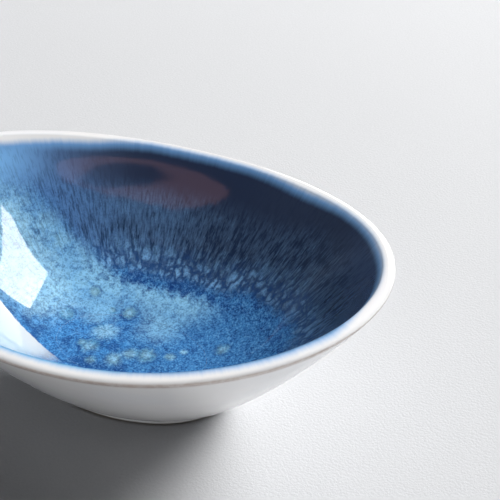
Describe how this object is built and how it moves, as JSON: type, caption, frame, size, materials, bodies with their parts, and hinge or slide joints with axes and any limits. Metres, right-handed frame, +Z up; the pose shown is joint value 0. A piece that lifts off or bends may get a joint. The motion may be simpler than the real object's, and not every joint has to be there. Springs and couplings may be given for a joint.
{
  "type": "dip bowl",
  "caption": "Small oval dip bowl with raised ends, a flared wall and a low foot ring; holds sauce and stands on a table.",
  "frame": {"origin": "middle of the foot's sole, on the surface that the bowl stands on", "axes": "+X along the bowl towards one raised end, +Y across it, +Z up"},
  "size_m": [0.125, 0.0898, 0.0431],
  "materials": {
    "stoneware_clay": "fired stoneware under the glaze, not seen",
    "foot_clay": "bare matt stoneware on the sole of the foot",
    "white_glaze": "smooth gloss white",
    "brown_line": "thin broken brown line, satin",
    "lip_white": "gloss white, a little warm",
    "blue_glaze": "deep gloss blue with fine running streaks, paler at its edge",
    "pool_glass": "thick gloss glass, azure with dark specks and pale spots",
    "recess_white": "smooth gloss white"
  },
  "bodies": {
    "root": {"clay_body": "stoneware_clay", "foot_ring": "foot_clay", "outer_glaze": "white_glaze", "rim_line": "brown_line", "lip_glaze": "lip_white", "inner_glaze": "blue_glaze", "glaze_pool": "pool_glass", "recess_glaze": "recess_white"}
  },
  "joints": []
}
